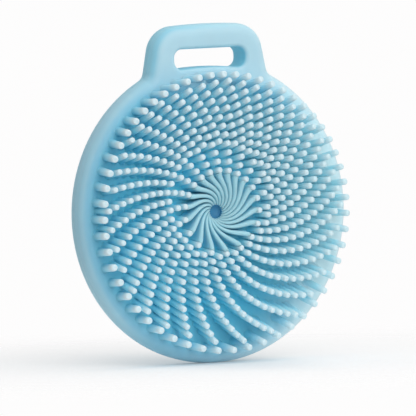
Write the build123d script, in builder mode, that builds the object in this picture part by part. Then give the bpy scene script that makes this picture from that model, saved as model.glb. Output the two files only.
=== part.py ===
from build123d import *

import os
from math import atan2, cos, dist, exp, hypot, pi, radians, sin

# A round silicone scalp massager brush with a hanging loop.
#
# Frame: millimetres, +Z up, +X to the brush's right, bristles towards -Y. The
# origin is the middle of the flat back face. Sketches are drawn as seen from the
# front, so their x is X and their y is Z, and depth is counted from the back face.

# ---- Body and hanging loop ----
body_radius = 50.0
body_thickness = 10.0
edge_radius = 3.6
seam_depth = 5.0
loop_top = 62.0
loop_shoulder_half = 19.1
loop_shoulder_height = 61.0
loop_foot_half = 23.0
loop_foot_height = 41.0
loop_corner_radius = 9.5
loop_flare_radius = 3.5
slot_half = 13.3
slot_top = 54.0
slot_sill = 47.0
slot_sill_crown = 0.9
slot_corner_radius = 2.8
slot_edge_radius = 1.4

# ---- Stiffener plate, sealed between the two shells ----
plate_thickness = 2.0
plate_inset = 2.1
plate_clearance = 0.1

# ---- Pit and vanes of the swirl ----
pit_radius = 2.9
pit_depth = 1.7
vane_root_radius = 3.2
vane_start_height = 0.5
vane_inner_foot = 0.32
vane_outer_foot = 1.15
vane_widening = 1.6
vane_crest_share = 0.45
vane_shoulder_share = 0.75
vane_shoulder_height = 0.8
vane_lead = radians(57.6)
vane_bend = 1.7
vane_stations = 7
vane_tip_gap = 0.3

# ---- Bristle field ----
row_count = 40
bristle_height = 8.3
bristle_rise = 10.0
bristle_radius = 1.2
bristle_sides = 8
bristle_pitch = 3.0
field_inner_radius = 14.0
field_outer_radius = 44.5
infill_gap = 6.0
row_phase = radians(-183.0)
row_twist = radians(57.0)
row_twist_ease = radians(8.2)
drift_left = 8.5
drift_up = 11.5
lean_side = 0.18
lean_out = 0.55
rim_count = 55
rim_radius = 45.7
rim_bristle_radius = 1.45
rim_phase = radians(-2.9)
rim_crowding = radians(6.5)
rim_crowding_turn = radians(6.8)
rim_gap = 2.8
rim_lean_up = 0.18

# ---- Worked out from the driving dimensions ----
front = body_thickness
rim_foot_reach = body_radius - edge_radius - rim_bristle_radius
pit_ball_radius = (pit_radius**2 + pit_depth**2) / (2 * pit_depth)
walk_step = 0.05
walk_limit = 1.5 * body_radius


def face_plane(depth):
    """The plane at this depth in front of the back face, looking at the bristles."""
    return Plane.XZ.offset(depth)


# ---- Outlines ----
def outline_sketch(plane):
    """Disc and loop as one outline, with the loop's feet flared into the disc."""
    shoulder = (loop_shoulder_half, loop_shoulder_height)
    foot = (loop_foot_half, loop_foot_height)
    with BuildSketch(plane) as outline:
        with BuildLine():
            ThreePointArc((-shoulder[0], shoulder[1]), (0, loop_top), shoulder)
            Polyline(shoulder, foot, (-foot[0], foot[1]), (-shoulder[0], shoulder[1]))
        make_face()
        fillet(vertices().group_by(Axis.Y)[-1], radius=loop_corner_radius)
        Circle(body_radius)
        flares = vertices().filter_by_position(Axis.Y, loop_foot_height, slot_sill)
        fillet(flares, radius=loop_flare_radius)
    return outline.sketch


def slot_sketch(plane, grow=0.0):
    """The finger slot: straight on top, with a sill that follows the disc."""
    sill_left = (-slot_half, slot_sill)
    sill_right = (slot_half, slot_sill)
    with BuildSketch(plane) as slot:
        with BuildLine():
            ThreePointArc(sill_left, (0, slot_sill + slot_sill_crown), sill_right)
            Polyline(sill_right, (slot_half, slot_top), (-slot_half, slot_top), sill_left)
        make_face()
        fillet(vertices(), radius=slot_corner_radius)
        if grow:
            offset(amount=grow, mode=Mode.REPLACE)
    return slot.sketch


def plate_sketch(plane, inset):
    """The stiffener's outline: the brush's own outline and slot, set in by a wall."""
    with BuildSketch(plane) as plate:
        add(outline_sketch(Plane.XY))
        offset(amount=-inset, mode=Mode.REPLACE)
        add(slot_sketch(Plane.XY, grow=inset), mode=Mode.SUBTRACT)
    return plate.sketch


def finish_outer_face(side):
    """Round an outer face's edge, cut the slot through it and soften the slot's rim."""
    fillet(faces().sort_by(Axis.Y)[side].edges(), radius=edge_radius)
    extrude(slot_sketch(face_plane(0)), amount=front, mode=Mode.SUBTRACT)
    slot_rim = faces().sort_by(Axis.Y)[side].inner_wires().edges()
    fillet(slot_rim, radius=slot_edge_radius)


# ---- Layout of the bristle field, as seen from the front ----
def field_point(row, reach):
    """A tip's place: rings of rows that twist, round a centre that drifts as they grow."""
    share = reach / body_radius
    angle = row_phase + 2 * pi * row / row_count + row_twist * share - row_twist_ease * share**2
    x = -drift_left * share**2 + reach * cos(angle)
    y = drift_up * share + reach * sin(angle)
    return x, y


def opening_radius(row):
    """Where the rows on both sides of this one stand far enough apart for it to begin."""
    reach = field_inner_radius / 2
    while dist(field_point(row - 1, reach), field_point(row + 1, reach)) < infill_gap:
        reach += walk_step
    return hypot(*field_point(row, reach))


def tip_height(tip):
    """Height above the face: the tips rise out of the swirl and level off."""
    return bristle_height * (1 - exp(-(hypot(*tip) - pit_radius) / bristle_rise))


def field_root(tip):
    """The root below a tip that leans up or down with its height, and to the right."""
    height = tip_height(tip)
    side = lean_side * (1 + tip[0] / body_radius)
    upward = lean_out * tip[1] / body_radius
    return tip[0] - side * height, tip[1] - upward * height


def rim_tip(number):
    """Tip of one bristle of the rim ring, whose bristles stand closer together at the top."""
    turn = 2 * pi * number / rim_count
    angle = turn + rim_phase + rim_crowding * cos(turn - rim_crowding_turn)
    return rim_radius * cos(angle), rim_radius * sin(angle)


def rim_root(tip):
    """Root of a rim bristle: it leans outwards on the right, and stays on the flat face."""
    rightward = tip[0] / rim_radius
    side = lean_side * (1 + rightward)
    upward = (rim_lean_up + lean_out * rightward) * tip[1] / rim_radius
    root = (tip[0] - side * bristle_height, tip[1] - upward * bristle_height)
    pull = min(1.0, rim_foot_reach / hypot(*root))
    return root[0] * pull, root[1] * pull


def clear_of_rim(tip):
    """Whether a bristle of the field clears the whole rim ring, both at its tip and at its root."""
    for number in range(rim_count):
        ring_tip = rim_tip(number)
        if min(dist(tip, ring_tip), dist(field_root(tip), rim_root(ring_tip))) < rim_gap:
            return False
    return True


def row_tips(row, start_radius):
    """Tips evenly spaced along one row, about a pitch apart, from its start out to the rim ring."""
    line = []
    for step in range(int(walk_limit / walk_step)):
        point = field_point(row, step * walk_step)
        if hypot(*point) < start_radius:
            continue
        if hypot(*point) > field_outer_radius or not clear_of_rim(point):
            break
        line.append(point)
    steps = [dist(before, after) for before, after in zip(line, line[1:])]
    pitch = sum(steps) / round(sum(steps) / bristle_pitch)
    tips = [line[0]]
    travelled = walk_step
    for step, point in zip(steps, line[1:]):
        travelled += step
        if travelled >= pitch * len(tips):
            tips.append(point)
    return tips


def add_bristle(root, tip, height, radius):
    """A straight leaning pin that stands on the front face."""
    lean = (tip[0] - root[0], -height, tip[1] - root[1])
    with BuildSketch(face_plane(front)) as foot:
        with Locations(root):
            RegularPolygon(radius=radius, side_count=bristle_sides)
    extrude(foot.sketch, amount=hypot(*lean), dir=lean)


# ---- Vanes ----
def vane_path(row, end):
    """Points of a vane's foot, from the pit's edge to the first bristle's root."""
    end_radius = hypot(*end)
    start_angle = row_phase - vane_lead + 2 * pi * row / row_count
    turn = (atan2(end[1], end[0]) - start_angle + pi) % (2 * pi) - pi
    points = []
    for station in range(vane_stations):
        share = station / (vane_stations - 1)
        radius = vane_root_radius + (end_radius - vane_root_radius) * share
        angle = start_angle + turn * (1 - (1 - share) ** vane_bend)
        points.append((radius * cos(angle), radius * sin(angle)))
    return points


def vane_section(point, heading, height, foot, side_lean, fore_lean):
    """A narrowing section across a vane, in a plane that leans along with the crest."""
    across = (-sin(heading), 0, cos(heading))
    normal = (cos(heading), fore_lean, sin(heading))
    plane = Plane(origin=(point[0], -front, point[1]), x_dir=across, z_dir=normal)
    stretch = hypot(1, fore_lean)
    corners = []
    for offset, level in (
        (-foot, 0),
        (-foot * vane_shoulder_share, vane_shoulder_height * height),
        (-foot * vane_crest_share, height),
        (foot * vane_crest_share, height),
        (foot * vane_shoulder_share, vane_shoulder_height * height),
        (foot, 0),
    ):
        corners.append((offset + side_lean * level, level * stretch))
    with BuildSketch(plane) as section:
        Polygon(*corners, align=None)
    return section.sketch


def add_vane(row, tip):
    """A ridge that rises from the pit's edge into the first bristle of its row."""
    end = field_root(tip)
    path = vane_path(row, end)
    full_height = tip_height(tip)
    lean = ((tip[0] - end[0]) / full_height, (tip[1] - end[1]) / full_height)
    climb_end = 1 - exp(-hypot(*end) / bristle_rise)
    sections = []
    for station, point in enumerate(path):
        share = station / (vane_stations - 1)
        before = path[max(station - 1, 0)]
        after = path[min(station + 1, vane_stations - 1)]
        heading = atan2(after[1] - before[1], after[0] - before[0])
        climb = (1 - exp(-share * hypot(*end) / bristle_rise)) / climb_end
        height = vane_start_height + (full_height - vane_tip_gap - vane_start_height) * climb
        foot = vane_inner_foot + (vane_outer_foot - vane_inner_foot) * share**vane_widening
        side_lean = share * (lean[1] * cos(heading) - lean[0] * sin(heading))
        fore_lean = share * (lean[0] * cos(heading) + lean[1] * sin(heading))
        sections.append(vane_section(point, heading, height, foot, side_lean, fore_lean))
    loft(sections, ruled=True)


os.makedirs("parts", exist_ok=True)

# ---- Back shell: the half that rests in the palm, with a pocket for the stiffener ----
with BuildPart() as back_shell:
    extrude(outline_sketch(face_plane(0)), amount=seam_depth)
    finish_outer_face(side=-1)
    pocket = plate_sketch(face_plane(seam_depth - plate_thickness), plate_inset - plate_clearance)
    extrude(pocket, amount=plate_thickness, mode=Mode.SUBTRACT)
back_shell.part.label = "back_shell"
export_step(back_shell.part, "parts/back_shell.step")

# ---- Stiffener plate: a flat core with a frame round the slot ----
with BuildPart() as stiffener_plate:
    extrude(plate_sketch(face_plane(seam_depth - plate_thickness), plate_inset), amount=plate_thickness)
stiffener_plate.part.label = "stiffener_plate"
export_step(stiffener_plate.part, "parts/stiffener_plate.step")

# ---- Front shell: the half that carries the bristles, with the pit of the swirl ----
with BuildPart() as front_shell:
    extrude(outline_sketch(face_plane(seam_depth)), amount=front - seam_depth)
    finish_outer_face(side=0)
    with Locations((0, -(front - pit_depth + pit_ball_radius), 0)):
        Sphere(pit_ball_radius, mode=Mode.SUBTRACT)
front_shell.part.label = "front_shell"
export_step(front_shell.part, "parts/front_shell.step")

# ---- Swirl arms: a vane that rises from the pit and breaks up into a row of bristles ----
for arm in range(row_count // 2):
    row = 2 * arm + 1
    tips = row_tips(row, field_inner_radius)
    with BuildPart() as swirl_arm:
        add_vane(row, tips[0])
        for tip in tips:
            add_bristle(field_root(tip), tip, tip_height(tip), bristle_radius)
    name = f"swirl_arm_{arm + 1:02d}"
    swirl_arm.part.label = name
    export_step(swirl_arm.part, f"parts/{name}.step")

# ---- Infill rows: rows that begin between two arms, where they have opened up ----
for infill in range(row_count // 2):
    row = 2 * infill
    with BuildPart() as infill_row:
        for tip in row_tips(row, opening_radius(row)):
            add_bristle(field_root(tip), tip, tip_height(tip), bristle_radius)
    name = f"infill_row_{infill + 1:02d}"
    infill_row.part.label = name
    export_step(infill_row.part, f"parts/{name}.step")

# ---- Rim bristles: one ring just inside the rounded rim ----
with BuildPart() as rim_bristles:
    for number in range(rim_count):
        tip = rim_tip(number)
        add_bristle(rim_root(tip), tip, bristle_height, rim_bristle_radius)
rim_bristles.part.label = "rim_bristles"
export_step(rim_bristles.part, "parts/rim_bristles.step")
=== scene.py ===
"""Soft mouldings, materials, light and camera of the silicone scalp massager brush.

Lengths of the brush are in millimetres, as in the CAD, until a mesh or a node
is made, and are then scaled to metres. Face coordinates are X and Z as seen from
the front, and depth is counted from the flat back face towards the bristle tips,
which is -Y. The floor, the lamps and the camera are in metres.
"""

from math import asin, atan2, cos, dist, exp, hypot, pi, radians, sin

import bmesh
import bpy
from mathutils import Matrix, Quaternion, Vector


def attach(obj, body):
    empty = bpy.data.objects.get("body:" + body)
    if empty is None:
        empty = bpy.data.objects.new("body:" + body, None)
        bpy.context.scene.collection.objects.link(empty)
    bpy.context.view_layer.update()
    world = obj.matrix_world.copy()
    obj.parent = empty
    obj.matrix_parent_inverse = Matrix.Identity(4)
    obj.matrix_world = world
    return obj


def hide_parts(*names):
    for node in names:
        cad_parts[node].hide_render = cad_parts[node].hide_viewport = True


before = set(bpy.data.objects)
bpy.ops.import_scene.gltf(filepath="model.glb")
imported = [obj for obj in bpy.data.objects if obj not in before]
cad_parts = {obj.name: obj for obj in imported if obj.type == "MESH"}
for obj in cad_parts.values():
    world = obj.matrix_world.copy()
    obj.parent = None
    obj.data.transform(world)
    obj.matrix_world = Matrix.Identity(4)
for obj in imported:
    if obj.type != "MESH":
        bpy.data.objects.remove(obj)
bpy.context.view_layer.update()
MM = 0.001

# ---- Sizes of the body, as in the CAD ----
body_radius = 50.0
front = 10.0
seam_depth = 5.0
edge_radius = 3.6
slot_edge_radius = 1.4
edge_steps = 8
seam_bead = 0.10
seam_bead_half = 0.22

# ---- How closely the CAD shell's seam is matched: in metres, and as a part of a unit normal ----
same_place = 2e-6
squarely = 0.99

# ---- Layout of the bristle field, as in the CAD ----
pit_radius = 2.9
row_count = 40
bristle_height = 8.3
bristle_rise = 10.0
bristle_pitch = 3.0
field_inner_radius = 14.0
field_outer_radius = 44.5
infill_gap = 6.0
row_phase = radians(-183.0)
row_twist = radians(57.0)
row_twist_ease = radians(8.2)
drift_left = 8.5
drift_up = 11.5
lean_side = 0.18
lean_out = 0.55
rim_count = 55
rim_radius = 45.7
rim_bristle_radius = 1.45
rim_phase = radians(-2.9)
rim_crowding = radians(6.5)
rim_crowding_turn = radians(6.8)
rim_gap = 2.8
rim_lean_up = 0.18
rim_foot_reach = body_radius - edge_radius - rim_bristle_radius
vane_lead = radians(57.6)
vane_bend = 1.7
walk_step = 0.05
walk_limit = 1.5 * body_radius

# ---- Fine form of one bristle ----
bristle_sides = 18
root_radius = 1.18
tip_radius = 0.97
rim_root_radius = 1.38
rim_tip_radius = 1.18
rim_slimming = 0.06
root_flare = 0.3
flare_shoulder = 0.3
flare_end = 0.9
square_from = 2.5
shaft_shares = (0.3, 0.45, 0.6, 0.75)
tip_rounding = 0.5
tip_steps = 3
tip_dimple_share = 0.5
tip_dimple_depth = 0.03
buried = 0.5

# ---- Tone of the silicone, from 0 on the face to 1 on the tips and crests: it carries painted shade low down and painted light at the ends ----
shaft_tones = (0.0, 0.62)
end_tones = (0.46, 0.95)
full_glow_tone = 0.4
vane_tone_bend = 1.1

# ---- Fine form of the vanes and the pit ----
vane_stations = 22
vane_start_radius = 2.35
vane_inner_half = 0.34
vane_draft = 0.22
vane_start_height = 0.5
vane_end_share = 0.88
vane_tip_gap = 0.25
vane_end_short = 0.95
crest_steps = 8
pit_depth = 1.7
pit_rings = 7
pit_sides = 96


# ---- Layout, as seen from the front ----
def field_point(row, reach):
    """A tip's place: rings of rows that twist, round a centre that drifts as they grow."""
    share = reach / body_radius
    angle = row_phase + 2 * pi * row / row_count + row_twist * share - row_twist_ease * share**2
    x = -drift_left * share**2 + reach * cos(angle)
    z = drift_up * share + reach * sin(angle)
    return x, z


def opening_radius(row):
    """Where the rows on both sides of this one stand far enough apart for it to begin."""
    reach = field_inner_radius / 2
    while dist(field_point(row - 1, reach), field_point(row + 1, reach)) < infill_gap:
        reach += walk_step
    return hypot(*field_point(row, reach))


def tip_height(tip):
    """Height above the face: the tips rise out of the swirl and level off."""
    return bristle_height * (1 - exp(-(hypot(*tip) - pit_radius) / bristle_rise))


def field_lean(tip):
    """How far a bristle leans to the right and upwards for each unit of height."""
    return lean_side * (1 + tip[0] / body_radius), lean_out * tip[1] / body_radius


def field_root(tip):
    """The root below a leaning tip."""
    side, upward = field_lean(tip)
    return tip[0] - side * tip_height(tip), tip[1] - upward * tip_height(tip)


def rim_tip(number):
    """Tip of one bristle of the rim ring, whose bristles stand closer together at the top."""
    turn = 2 * pi * number / rim_count
    angle = turn + rim_phase + rim_crowding * cos(turn - rim_crowding_turn)
    return rim_radius * cos(angle), rim_radius * sin(angle)


def rim_root(tip):
    """Root of a rim bristle: it leans outwards on the right, and stays on the flat face."""
    rightward = tip[0] / rim_radius
    side = lean_side * (1 + rightward)
    upward = (rim_lean_up + lean_out * rightward) * tip[1] / rim_radius
    root = (tip[0] - side * bristle_height, tip[1] - upward * bristle_height)
    pull = min(1.0, rim_foot_reach / hypot(*root))
    return root[0] * pull, root[1] * pull


def clear_of_rim(tip):
    """Whether a bristle of the field clears the whole rim ring, both at its tip and at its root."""
    for number in range(rim_count):
        ring_tip = rim_tip(number)
        if min(dist(tip, ring_tip), dist(field_root(tip), rim_root(ring_tip))) < rim_gap:
            return False
    return True


def row_tips(row, start_radius):
    """Tips evenly spaced along one row, about a pitch apart, from its start out to the rim ring."""
    line = []
    for step in range(int(walk_limit / walk_step)):
        point = field_point(row, step * walk_step)
        if hypot(*point) < start_radius:
            continue
        if hypot(*point) > field_outer_radius or not clear_of_rim(point):
            break
        line.append(point)
    steps = [dist(before, after) for before, after in zip(line, line[1:])]
    pitch = sum(steps) / round(sum(steps) / bristle_pitch)
    tips = [line[0]]
    travelled = walk_step
    for step, point in zip(steps, line[1:]):
        travelled += step
        if travelled >= pitch * len(tips):
            tips.append(point)
    return tips


def place(point, depth):
    """A point of the face at this depth, in the scene's own metres."""
    return Vector((point[0], -depth, point[1])) * MM


# ---- Mesh helpers ----
def add_ring(mesh, points, tones=()):
    """New vertices at these points, each with its tone where tones are given."""
    ring = [mesh.verts.new(point) for point in points]
    tone_layer = mesh.verts.layers.float.get("tone")
    for vertex, tone in zip(ring, tones):
        vertex[tone_layer] = tone
    return ring


def new_moulding():
    """An empty mesh whose vertices can carry a tone."""
    mesh = bmesh.new()
    mesh.verts.layers.float.new("tone")
    return mesh


def bridge(mesh, lower, upper):
    """A closed band of quads between two rings of equal length."""
    count = len(lower)
    for i in range(count):
        j = (i + 1) % count
        mesh.faces.new((lower[i], lower[j], upper[j], upper[i]))


def finish_piece(mesh, name, nodes, material):
    """Turns the bmesh into a smooth object that rides on the root and replaces its nodes."""
    bmesh.ops.recalc_face_normals(mesh, faces=mesh.faces[:])
    for face in mesh.faces:
        face.smooth = True
    data = bpy.data.meshes.new(name)
    mesh.to_mesh(data)
    mesh.free()
    data.materials.append(material)
    piece = bpy.data.objects.new(name, data)
    bpy.context.scene.collection.objects.link(piece)
    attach(piece, "root")
    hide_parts(*nodes)


def add_bristle(mesh, root, tip, height, foot_radius, end_radius):
    """A round, tapered pin with a flared foot and a rounded end with a shallow dimple.

    Its rings lie in the face's plane at the foot, and are square to the pin from square_from on.
    """
    foot = place(root, front)
    end = place(tip, front + height)
    axis = (end - foot).normalized()
    across = axis.cross(Vector((0, 0, 1))).normalized()
    up = across.cross(axis)
    length = (end - foot).length / MM
    stations = [(-buried, foot_radius + root_flare), (0.0, foot_radius + root_flare)]
    stations += [(flare_shoulder, foot_radius + root_flare / 3), (flare_end, foot_radius)]
    for share in shaft_shares:
        stations.append((length * share, foot_radius + (end_radius - foot_radius) * share))
    for step in range(tip_steps + 1):
        turn = pi / 2 * step / tip_steps
        radius = end_radius - tip_rounding * (1 - cos(turn))
        stations.append((length - tip_rounding * (1 - sin(turn)), radius))
    stations.append((length - tip_dimple_depth, (end_radius - tip_rounding) * tip_dimple_share))
    rings = []
    for along, radius in stations:
        middle = foot + axis * along * MM
        square = min(max(along / square_from, 0.0), 1.0)
        sideways = Vector((-1, 0, 0)).lerp(across, square)
        upwards = Vector((0, 0, 1)).lerp(up, square)
        points = []
        for side in range(bristle_sides):
            turn = 2 * pi * side / bristle_sides
            spoke = sideways * cos(turn) + upwards * sin(turn)
            points.append(middle + spoke * radius * MM)
        # The tone carries painted shade at the foot and painted light at the rounded end.
        tone = min(max(along / length, 0.0), 1.0)
        rings.append(add_ring(mesh, points, [tone] * bristle_sides))
    for lower, upper in zip(rings, rings[1:]):
        bridge(mesh, lower, upper)
    mesh.faces.new(rings[0])
    mesh.faces.new(rings[-1])


def vane_line(row, tip):
    """Stations along a vane: point on the face, crest height, half width and lean."""
    end = field_root(tip)
    end_radius = hypot(*end)
    start_angle = row_phase - vane_lead + 2 * pi * row / row_count
    turn = (atan2(end[1], end[0]) - start_angle + pi) % (2 * pi) - pi
    side, upward = field_lean(tip)
    stations = []
    for station in range(vane_stations):
        share = station / (vane_stations - 1)
        radius = vane_start_radius + (end_radius - vane_end_short - vane_start_radius) * share
        angle = start_angle + turn * (1 - (1 - share) ** vane_bend)
        point = (radius * cos(angle), radius * sin(angle))
        climb = (1 - exp(-share * end_radius / bristle_rise)) / (1 - exp(-end_radius / bristle_rise))
        height = vane_start_height + (tip_height(tip) - vane_tip_gap - vane_start_height) * climb
        half = vane_inner_half + (tip_radius * vane_end_share - vane_inner_half) * share
        stations.append((point, height, half, (side * share, upward * share)))
    return stations


def add_vane(mesh, row, tip):
    """A ridge with a round crest that climbs from the pit and ends in its first bristle."""
    stations = vane_line(row, tip)
    rings = []
    for number, (point, height, half, lean) in enumerate(stations):
        before = stations[max(number - 1, 0)][0]
        after = stations[min(number + 1, len(stations) - 1)][0]
        heading = atan2(after[1] - before[1], after[0] - before[0])
        normal = (-sin(heading), cos(heading))
        section = [(half + vane_draft, -buried), (half + vane_draft, 0.0)]
        dome = min(half, height)
        for step in range(crest_steps + 1):
            turn = pi * step / crest_steps
            section.append((half * cos(turn), height - dome + dome * sin(turn)))
        section += [(-half - vane_draft, 0.0), (-half - vane_draft, -buried)]
        points = []
        tones = []
        for offset, level in section:
            rise = max(level, 0.0)
            x = point[0] + normal[0] * offset + lean[0] * rise
            z = point[1] + normal[1] * offset + lean[1] * rise
            points.append(place((x, z), front + level))
            # The tone carries painted shade low on the vane's sides and painted light on its crest.
            tones.append((rise / height) ** vane_tone_bend)
        rings.append(add_ring(mesh, points, tones))
    for lower, upper in zip(rings, rings[1:]):
        bridge(mesh, lower, upper)
    mesh.faces.new(rings[0])
    mesh.faces.new(rings[-1])


# ---- Outlines of the moulding, taken from the CAD shell's seam ----
def seam_loops(node):
    """Closed loops of points where the shell's flat seam meets its side walls, widest first."""
    shell = bmesh.new()
    shell.from_mesh(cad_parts[node].data)
    bmesh.ops.remove_doubles(shell, verts=shell.verts[:], dist=same_place)
    seam_y = -seam_depth * MM
    following = {}
    for edge in shell.edges:
        off_seam = any(abs(vertex.co.y - seam_y) > same_place for vertex in edge.verts)
        if off_seam or len(edge.link_faces) != 2:
            continue
        flat = [abs(face.normal.y) > squarely for face in edge.link_faces]
        if flat.count(True) == 1:
            first, second = edge.verts
            following.setdefault(first.index, []).append(second.index)
            following.setdefault(second.index, []).append(first.index)
    shell.verts.ensure_lookup_table()
    loops = []
    waiting = set(following)
    while waiting:
        start = waiting.pop()
        loop = [start]
        here = following[start][0]
        while here != start:
            waiting.discard(here)
            loop.append(here)
            here = next(other for other in following[here] if other != loop[-2])
        loops.append([(shell.verts[i].co.x / MM, shell.verts[i].co.z / MM) for i in loop])
    shell.free()
    return sorted(loops, key=lambda loop: -max(abs(x) for x, z in loop))


def outward_normals(loop):
    """Unit normals at a loop's points, away from what the loop encloses."""
    count = len(loop)
    area = sum(loop[i - 1][0] * loop[i][1] - loop[i][0] * loop[i - 1][1] for i in range(count))
    sense = 1 if area > 0 else -1
    normals = []
    for i in range(count):
        before, here, after = loop[i - 1], loop[i], loop[(i + 1) % count]
        first = Vector((here[0] - before[0], here[1] - before[1])).normalized()
        second = Vector((after[0] - here[0], after[1] - here[1])).normalized()
        along = (first + second).normalized()
        normals.append((sense * along.y, -sense * along.x))
    return normals


def wall_profile(radius, bead):
    """Stations from the back face to the front face: how far the wall is set in, and its depth."""
    back_edge = []
    for step in range(edge_steps + 1):
        turn = pi / 2 * step / edge_steps
        back_edge.append((radius * (1 - sin(turn)), radius * (1 - cos(turn))))
    seam = [(0.0, seam_depth - seam_bead_half), (-bead, seam_depth), (0.0, seam_depth + seam_bead_half)]
    front_edge = [(inset, front - depth) for inset, depth in reversed(back_edge)]
    return back_edge + seam + front_edge


def sweep_wall(mesh, loop, profile, sense):
    """The side wall of the moulding round one loop; returns its back and front rings.

    Its insets go into the material: inside an outline (sense 1), outside a hole (sense -1).
    """
    normals = outward_normals(loop)
    rings = []
    for inset, depth in profile:
        points = []
        for (x, z), (across, up) in zip(loop, normals):
            points.append(place((x - sense * inset * across, z - sense * inset * up), depth))
        rings.append(add_ring(mesh, points))
    for lower, upper in zip(rings, rings[1:]):
        bridge(mesh, lower, upper)
    return rings[0], rings[-1]


def ring_edges(mesh, ring):
    """The edges round one ring of vertices."""
    return [mesh.edges.get((ring[i - 1], ring[i])) for i in range(len(ring))]


def add_pit(mesh):
    """The round pit in the middle of the swirl, part of a ball; returns its rim."""
    ball = (pit_radius**2 + pit_depth**2) / (2 * pit_depth)
    rim = None
    inner = None
    for ring_number in range(pit_rings + 1):
        radius = pit_radius * (1 - ring_number / (pit_rings + 1))
        depth = front - pit_depth + ball - ball * cos(asin(radius / ball))
        points = []
        for side in range(pit_sides):
            turn = 2 * pi * side / pit_sides
            points.append(place((radius * cos(turn), radius * sin(turn)), depth))
        ring = add_ring(mesh, points)
        if inner:
            bridge(mesh, inner, ring)
        else:
            rim = ring
        inner = ring
    mesh.faces.new(inner)
    return rim


# ---- Silicone: gloss, glow and fine structure, with its lengths in metres ----
silicone_roughness = 0.5
silicone_ior = 1.41
translucency = 0.7
body_glow_reach = 0.0012
bristle_glow_reach = 0.0018
mottling_scale = 180.0
mottling_detail = 3.0
mottling_strength = 0.03
grain_scale = 5200.0
grain_detail = 2.0
grain_strength = 0.08
grain_height = 0.00003

# ---- Matt plastic ----
plastic_roughness = 0.6
plastic_cloud_scale = 120.0

# ---- Places on the brush: the measure that each one follows, and its two ends in millimetres ----
place_ranges = {
    "rightward": ("x", -body_radius, body_radius),
    "far_right": ("x", 8.0, 42.0),
    "upper_right": ("x_plus_z", 10.0, 55.0),
    "beside_slot": ("size_of_x", 15.5, 17.5),
    "off_front": ("y", -9.8, -8.5),
    "off_pit_floor": ("y", -7.8, -7.0),
    "off_walls": ("y", -1.4, -0.4),
    "downward": ("z", -30.0, -49.0),
    "upward": ("z", 37.0, 51.0),
    "off_top": ("z", 37.0, 44.0),
    "off_disc": ("z", 44.0, 46.0),
    "past_slot": ("z", 56.5, 58.5),
    "off_pit": ("reach", 2.2, 3.6),
    "off_centre": ("reach", 4.0, 16.0),
    "off_deep": ("reach", 30.0, 44.0),
    "off_field": ("reach", 43.5, 49.0),
}


# ---- Colours; left and right are the sides of the brush as seen from the front ----
def linear(red, green, blue):
    """A colour given as 0 to 255 screen values, as linear values, by the sRGB curve."""
    channels = []
    for value in (red / 255, green / 255, blue / 255):
        channels.append(value / 12.92 if value <= 0.04045 else ((value + 0.055) / 1.055) ** 2.4)
    return (*channels, 1.0)


# Painted light and shade on the plain face: paler on the right and on the loop at the top, deeper on
# the left.
shell_left = linear(143, 201, 223)
shell_right = linear(208, 238, 247)
loop_face = linear(187, 223, 235)
# Painted shade on the lowest part of the edge, less of it on the right.
underside_shade_left = linear(108, 181, 208)
underside_shade_right = linear(208, 234, 243)
# Painted shade in the pit and in the hollow of the swirl.
pit_shade = linear(70, 150, 192)
swirl_shade = linear(126, 198, 220)
# Painted shade between the bristles, less of it towards the rim, and painted light on the right.
valley_shade_left = linear(120, 222, 246)
valley_shade_right = linear(182, 238, 251)
valley_shade_upper_right = linear(176, 238, 251)
outer_left = linear(114, 200, 224)
outer_right = linear(216, 242, 249)
# Painted light and shade on the walls: darker on the left, paler on the right, deeper on the walls of
# the slot.
wall_left = linear(166, 211, 227)
wall_right = linear(212, 236, 243)
loop_wall_left = linear(136, 209, 231)
loop_wall_right = linear(206, 234, 242)
slot_wall_shade = linear(142, 219, 238)
# Painted light: the shafts and ends are paler on the right.
shaft_right = linear(184, 236, 251)
end_right = linear(206, 233, 241)
# Painted light and shade along bristles and vanes: the ends and crests are paler than the shafts and
# sides.
bristle_shaft = linear(164, 231, 250)
bristle_end = linear(211, 233, 241)
rim_shaft = linear(172, 224, 242)
rim_end = linear(211, 232, 239)
vane_side = linear(126, 197, 219)
vane_crest = linear(168, 214, 226)
plastic_dark = linear(206, 216, 222)
plastic_pale = linear(224, 230, 234)


# ---- Nodes that the materials share ----
def own_place(material):
    """A point's own place in the shared frame, in metres."""
    return material.node_tree.nodes.new("ShaderNodeTexCoord").outputs["Object"]


def length_node(material, vector, stretch):
    """The length of a vector whose three axes are stretched by these factors."""
    stretched = material.node_tree.nodes.new("ShaderNodeVectorMath")
    stretched.operation = "MULTIPLY"
    stretched.inputs[1].default_value = stretch
    material.node_tree.links.new(vector, stretched.inputs[0])
    length = material.node_tree.nodes.new("ShaderNodeVectorMath")
    length.operation = "LENGTH"
    material.node_tree.links.new(stretched.outputs[0], length.inputs[0])
    return length.outputs["Value"]


def range_node(material, value, low, high):
    """How far a value is from low to high, from 0 to 1, with soft ends."""
    node = material.node_tree.nodes.new("ShaderNodeMapRange")
    node.interpolation_type = "SMOOTHSTEP"
    node.inputs["From Min"].default_value = low
    node.inputs["From Max"].default_value = high
    material.node_tree.links.new(value, node.inputs["Value"])
    return node.outputs[0]


def mix_node(material, factor, first, second):
    """A blend of two colours."""
    node = material.node_tree.nodes.new("ShaderNodeMix")
    node.data_type = "RGBA"
    material.node_tree.links.new(factor, node.inputs["Factor"])
    for name, colour in (("A", first), ("B", second)):
        if isinstance(colour, tuple):
            node.inputs[name].default_value = colour
        else:
            material.node_tree.links.new(colour, node.inputs[name])
    return node.outputs["Result"]


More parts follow.
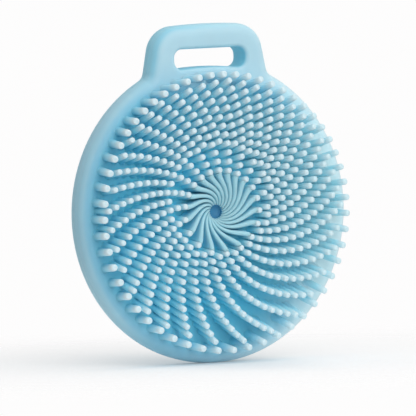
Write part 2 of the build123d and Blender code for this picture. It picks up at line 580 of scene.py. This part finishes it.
# ---- Materials ----
def satin_silicone(name, glow_reach):
    """Satin, slightly translucent silicone with faint mottling; returns it and its colour input."""
    material = bpy.data.materials.new(name)
    material.use_nodes = True
    nodes = material.node_tree.nodes
    links = material.node_tree.links
    shader = nodes["Principled BSDF"]
    shader.inputs["Roughness"].default_value = silicone_roughness
    shader.inputs["IOR"].default_value = silicone_ior
    shader.inputs["Subsurface Weight"].default_value = translucency
    shader.inputs["Subsurface Radius"].default_value = (1.0, 1.0, 1.0)
    shader.inputs["Subsurface Scale"].default_value = glow_reach
    where = own_place(material)
    mottling = nodes.new("ShaderNodeTexNoise")
    mottling.inputs["Scale"].default_value = mottling_scale
    mottling.inputs["Detail"].default_value = mottling_detail
    links.new(where, mottling.inputs["Vector"])
    shade = nodes.new("ShaderNodeMapRange")
    shade.inputs["To Min"].default_value = 1 - mottling_strength
    shade.inputs["To Max"].default_value = 1 + mottling_strength
    links.new(mottling.outputs[0], shade.inputs["Value"])
    tint = nodes.new("ShaderNodeMix")
    tint.data_type = "RGBA"
    tint.blend_type = "MULTIPLY"
    tint.inputs["Factor"].default_value = 1.0
    links.new(shade.outputs[0], tint.inputs["B"])
    links.new(tint.outputs["Result"], shader.inputs["Base Color"])
    grain = nodes.new("ShaderNodeTexNoise")
    grain.inputs["Scale"].default_value = grain_scale
    grain.inputs["Detail"].default_value = grain_detail
    links.new(where, grain.inputs["Vector"])
    bump = nodes.new("ShaderNodeBump")
    bump.inputs["Strength"].default_value = grain_strength
    bump.inputs["Distance"].default_value = grain_height
    links.new(grain.outputs[0], bump.inputs["Height"])
    links.new(bump.outputs[0], shader.inputs["Normal"])
    return material, tint.inputs["A"]


def brush_places(material):
    """How far a point lies from the first end of each place to the second, from 0 to 1."""
    nodes = material.node_tree.nodes
    links = material.node_tree.links
    where = own_place(material)
    split = nodes.new("ShaderNodeSeparateXYZ")
    links.new(where, split.inputs[0])
    size_of_x = nodes.new("ShaderNodeMath")
    size_of_x.operation = "ABSOLUTE"
    links.new(split.outputs["X"], size_of_x.inputs[0])
    x_plus_z = nodes.new("ShaderNodeMath")
    x_plus_z.operation = "ADD"
    links.new(split.outputs["X"], x_plus_z.inputs[0])
    links.new(split.outputs["Z"], x_plus_z.inputs[1])
    measures = {
        "x": split.outputs["X"],
        "y": split.outputs["Y"],
        "z": split.outputs["Z"],
        "size_of_x": size_of_x.outputs[0],
        "x_plus_z": x_plus_z.outputs[0],
        "reach": length_node(material, where, (1.0, 0.0, 1.0)),
    }
    places = {}
    for name, (measure, low, high) in place_ranges.items():
        places[name] = range_node(material, measures[measure], low * MM, high * MM)
    return places


def underside_colour(material, places):
    """The lowest part of the disc's edge in painted shade: darker than the rest, and less so on the
    right.
    """
    return mix_node(material, places["rightward"], underside_shade_left, underside_shade_right)


def shell_colour(material, places):
    """The plain face outside the bristles, with painted light and shade: paler on the right and on the
    loop, darker below.
    """
    disc = mix_node(material, places["rightward"], shell_left, shell_right)
    disc = mix_node(material, places["downward"], disc, underside_colour(material, places))
    return mix_node(material, places["upward"], disc, loop_face)


def face_colour(material, places):
    """The front face: painted shade between the bristles and in the pit, less of it at the rim, and
    painted light on the right.
    """
    swirl = mix_node(material, places["off_pit"], pit_shade, swirl_shade)
    valley_shade = mix_node(material, places["far_right"], valley_shade_left, valley_shade_right)
    valley_shade = mix_node(material, places["upper_right"], valley_shade, valley_shade_upper_right)
    outer = mix_node(material, places["far_right"], outer_left, outer_right)
    middle = mix_node(material, places["off_deep"], valley_shade, outer)
    field = mix_node(material, places["off_centre"], swirl, middle)
    shell = shell_colour(material, places)
    field = mix_node(material, places["off_top"], field, shell)
    return mix_node(material, places["off_field"], field, shell)


def side_colour(material, places):
    """All behind the front face: the pit, the walls of the slot, the outer wall and the back; painted
    shade in the pit, on the slot's walls, on the left and below, painted light on the right.
    """
    disc = mix_node(material, places["rightward"], wall_left, wall_right)
    disc = mix_node(material, places["downward"], disc, underside_colour(material, places))
    loop = mix_node(material, places["rightward"], loop_wall_left, loop_wall_right)
    outer = mix_node(material, places["upward"], disc, loop)
    slot = mix_node(material, places["beside_slot"], slot_wall_shade, outer)
    slot = mix_node(material, places["past_slot"], slot, outer)
    slot = mix_node(material, places["off_disc"], outer, slot)
    wall = mix_node(material, places["off_walls"], slot, outer)
    pit = mix_node(material, places["off_deep"], pit_shade, wall)
    return mix_node(material, places["off_pit_floor"], pit, wall)


def toned_silicone(name, shaft, end):
    """Silicone that goes with the tone from the face's colour, with its painted shade, by way of the
    shaft to the end, which is paler as painted light; paler still on the right.
    """
    material, colour = satin_silicone(name, bristle_glow_reach)
    places = brush_places(material)
    tone = material.node_tree.nodes.new("ShaderNodeAttribute")
    tone.attribute_name = "tone"
    half_up = range_node(material, tone.outputs["Fac"], *shaft_tones)
    top = range_node(material, tone.outputs["Fac"], *end_tones)
    # Painted light: shafts and ends paler on the right of the brush.
    shaft = mix_node(material, places["far_right"], shaft, shaft_right)
    end = mix_node(material, places["far_right"], end, end_right)
    # Painted shade at the feet, taken from the face, and painted light at the ends.
    lower = mix_node(material, half_up, face_colour(material, places), shaft)
    material.node_tree.links.new(mix_node(material, top, lower, end), colour)
    glow = material.node_tree.nodes.new("ShaderNodeMapRange")
    glow.inputs["From Max"].default_value = full_glow_tone
    glow.inputs["To Max"].default_value = translucency
    material.node_tree.links.new(tone.outputs["Fac"], glow.inputs["Value"])
    shader = material.node_tree.nodes["Principled BSDF"]
    material.node_tree.links.new(glow.outputs[0], shader.inputs["Subsurface Weight"])
    return material


def matt_plastic(name):
    """Matt, faintly clouded plastic."""
    material = bpy.data.materials.new(name)
    material.use_nodes = True
    shader = material.node_tree.nodes["Principled BSDF"]
    shader.inputs["Roughness"].default_value = plastic_roughness
    clouds = material.node_tree.nodes.new("ShaderNodeTexNoise")
    clouds.inputs["Scale"].default_value = plastic_cloud_scale
    colour = mix_node(material, clouds.outputs[0], plastic_dark, plastic_pale)
    material.node_tree.links.new(colour, shader.inputs["Base Color"])
    return material


body_silicone, body_colour = satin_silicone("body_silicone", body_glow_reach)
body_places = brush_places(body_silicone)
whole_body = mix_node(
    body_silicone,
    body_places["off_front"],
    face_colour(body_silicone, body_places),
    side_colour(body_silicone, body_places),
)
body_silicone.node_tree.links.new(whole_body, body_colour)
bristle_silicone = toned_silicone("bristle_silicone", bristle_shaft, bristle_end)
rim_silicone = toned_silicone("rim_silicone", rim_shaft, rim_end)
vane_silicone = toned_silicone("vane_silicone", vane_side, vane_crest)

# ---- Body ----
body = bmesh.new()
outline, slot_outline = seam_loops("front_shell")
back_outer, front_outer = sweep_wall(body, outline, wall_profile(edge_radius, seam_bead), 1)
back_slot, front_slot = sweep_wall(body, slot_outline, wall_profile(slot_edge_radius, 0.0), -1)
front_edges = ring_edges(body, front_outer) + ring_edges(body, front_slot)
front_edges += ring_edges(body, add_pit(body))
bmesh.ops.triangle_fill(body, edges=front_edges, use_beauty=True, normal=(0, -1, 0))
back_edges = ring_edges(body, back_outer) + ring_edges(body, back_slot)
bmesh.ops.triangle_fill(body, edges=back_edges, use_beauty=True, normal=(0, 1, 0))
finish_piece(body, "body_moulding", ["front_shell", "back_shell"], body_silicone)

# ---- Stiffener plate, sealed inside the body ----
plate_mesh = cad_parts["stiffener_plate"].data
plate_mesh.materials.clear()
plate_mesh.materials.append(matt_plastic("stiffener_plastic"))

# ---- Swirl arms, infill rows and the rim ring ----
for arm in range(row_count // 2):
    row = 2 * arm + 1
    tips = row_tips(row, field_inner_radius)
    nodes = [f"swirl_arm_{arm + 1:02d}"]
    vane = new_moulding()
    add_vane(vane, row, tips[0])
    finish_piece(vane, f"vane_{arm + 1:02d}", nodes, vane_silicone)
    bristles = new_moulding()
    for tip in tips:
        add_bristle(bristles, field_root(tip), tip, tip_height(tip), root_radius, tip_radius)
    finish_piece(bristles, f"arm_{arm + 1:02d}", nodes, bristle_silicone)

for infill in range(row_count // 2):
    row = 2 * infill
    nodes = [f"infill_row_{infill + 1:02d}"]
    bristles = new_moulding()
    for tip in row_tips(row, opening_radius(row)):
        add_bristle(bristles, field_root(tip), tip, tip_height(tip), root_radius, tip_radius)
    finish_piece(bristles, f"infill_{infill + 1:02d}", nodes, bristle_silicone)

bristles = new_moulding()
for number in range(rim_count):
    tip = rim_tip(number)
    slim = 1 - rim_slimming * (1 + tip[0] / rim_radius)
    sizes = (rim_root_radius * slim, rim_tip_radius * slim)
    add_bristle(bristles, rim_root(tip), tip, bristle_height, *sizes)
finish_piece(bristles, "rim_ring", ["rim_bristles"], rim_silicone)

# ---- Floor: pale paper that fades out, with a painted shadow round the point of contact ----
floor_level = -body_radius * MM
floor_half = 0.4
fade_start = 0.02
fade_end = 0.2
# A painted shadow round the point of contact: how narrow it is across, where it fades, and its colour.
contact_narrowing = 2.5
contact_start = 0.01
contact_end = 0.10
painted_shadow_colour = (0.72, 0.785, 0.82, 1.0)
open_colour = (0.90, 0.895, 0.89, 1.0)
paper_roughness = 0.7
paper_glow_colour = (1.0, 0.99, 0.985, 1.0)
paper_glow = 0.15


def pale_paper(name):
    """Paper without gloss that fades with the distance and has a painted shadow under the brush, darker
    and glowing less there.
    """
    material = bpy.data.materials.new(name)
    material.use_nodes = True
    links = material.node_tree.links
    shader = material.node_tree.nodes["Principled BSDF"]
    shader.inputs["Roughness"].default_value = paper_roughness
    shader.inputs["Specular IOR Level"].default_value = 0.0
    shader.inputs["Emission Color"].default_value = paper_glow_colour
    where = own_place(material)
    reach = length_node(material, where, (1.0, 1.0, 1.0))
    links.new(range_node(material, reach, fade_end, fade_start), shader.inputs["Alpha"])
    off_contact = length_node(material, where, (contact_narrowing, 1.0, 1.0))
    in_the_open = range_node(material, off_contact, contact_start, contact_end)
    colour = mix_node(material, in_the_open, painted_shadow_colour, open_colour)
    links.new(colour, shader.inputs["Base Color"])
    # The glow is weaker round the point of contact, as part of the painted shadow.
    glow = material.node_tree.nodes.new("ShaderNodeMapRange")
    glow.inputs["To Max"].default_value = paper_glow
    links.new(in_the_open, glow.inputs["Value"])
    links.new(glow.outputs[0], shader.inputs["Emission Strength"])
    return material


floor_mesh = bmesh.new()
corners = []
for x, y in ((-1, -1), (1, -1), (1, 1), (-1, 1)):
    corners.append((x * floor_half, y * floor_half, floor_level))
floor_mesh.faces.new(add_ring(floor_mesh, corners))
floor_data = bpy.data.meshes.new("floor")
floor_mesh.to_mesh(floor_data)
floor_mesh.free()
floor_data.materials.append(pale_paper("paper_floor"))
floor = bpy.data.objects.new("floor", floor_data)
bpy.context.scene.collection.objects.link(floor)

# ---- Studio light: a soft dome, brighter from the right, and two softboxes ----
dome_left = 0.48
dome_right = 0.7
dome_colour = (0.97, 0.985, 1.0, 1.0)
backdrop_colour = (0.985, 0.98, 0.98, 1.0)
world = bpy.data.worlds.new("studio")
bpy.context.scene.world = world
world.use_nodes = True
sky = world.node_tree
sky.nodes.clear()
dome = sky.nodes.new("ShaderNodeBackground")
dome.inputs["Color"].default_value = dome_colour
backdrop = sky.nodes.new("ShaderNodeBackground")
backdrop.inputs["Color"].default_value = backdrop_colour
backdrop.inputs["Strength"].default_value = 1.0
chooser = sky.nodes.new("ShaderNodeMixShader")
ray = sky.nodes.new("ShaderNodeLightPath")
sky_out = sky.nodes.new("ShaderNodeOutputWorld")
sky_where = sky.nodes.new("ShaderNodeTexCoord")
sky_split = sky.nodes.new("ShaderNodeSeparateXYZ")
sky_side = sky.nodes.new("ShaderNodeMapRange")
sky_side.inputs["From Min"].default_value = -1.0
sky_side.inputs["To Min"].default_value = dome_left
sky_side.inputs["To Max"].default_value = dome_right
sky.links.new(sky_where.outputs["Generated"], sky_split.inputs[0])
sky.links.new(sky_split.outputs["X"], sky_side.inputs["Value"])
sky.links.new(sky_side.outputs[0], dome.inputs["Strength"])
sky.links.new(ray.outputs["Is Camera Ray"], chooser.inputs[0])
sky.links.new(dome.outputs[0], chooser.inputs[1])
sky.links.new(backdrop.outputs[0], chooser.inputs[2])
sky.links.new(chooser.outputs[0], sky_out.inputs["Surface"])


def softbox(name, position, size, power):
    """A square area light at this place that faces the disc's centre."""
    data = bpy.data.lights.new(name, "AREA")
    data.size = size
    data.energy = power
    lamp = bpy.data.objects.new(name, data)
    lamp.location = position
    lamp.rotation_euler = (-Vector(position)).to_track_quat("-Z", "Y").to_euler()
    bpy.context.scene.collection.objects.link(lamp)


softbox("key", position=(-0.10, -0.85, 0.40), size=0.6, power=2.7)
softbox("top", position=(0.15, -0.35, 1.00), size=1.5, power=3.8)

# ---- Camera: the photograph's viewing angle, with a long lens ----
view_azimuth = radians(-28.7)
view_elevation = radians(3.0)
view_distance = 6.0
view_width = 0.1373
view_roll = radians(1.6)
view_end = 10.0
aim_height = 0.00103
sensor_width = 36.0
aim = Vector((0.0, -seam_depth * MM, aim_height))
camera_data = bpy.data.cameras.new("camera")
camera = bpy.data.objects.new("camera", camera_data)
bpy.context.scene.collection.objects.link(camera)
away = Vector(
    (
        sin(view_azimuth) * cos(view_elevation),
        -cos(view_azimuth) * cos(view_elevation),
        sin(view_elevation),
    )
)
camera.location = aim + away * view_distance
turned = Quaternion(away, -view_roll) @ (-away).to_track_quat("-Z", "Y")
camera.rotation_euler = turned.to_euler()
camera_data.sensor_width = sensor_width
camera_data.lens = sensor_width * view_distance / view_width
camera_data.clip_end = view_end
bpy.context.scene.camera = camera
bpy.context.scene.view_settings.view_transform = "Standard"
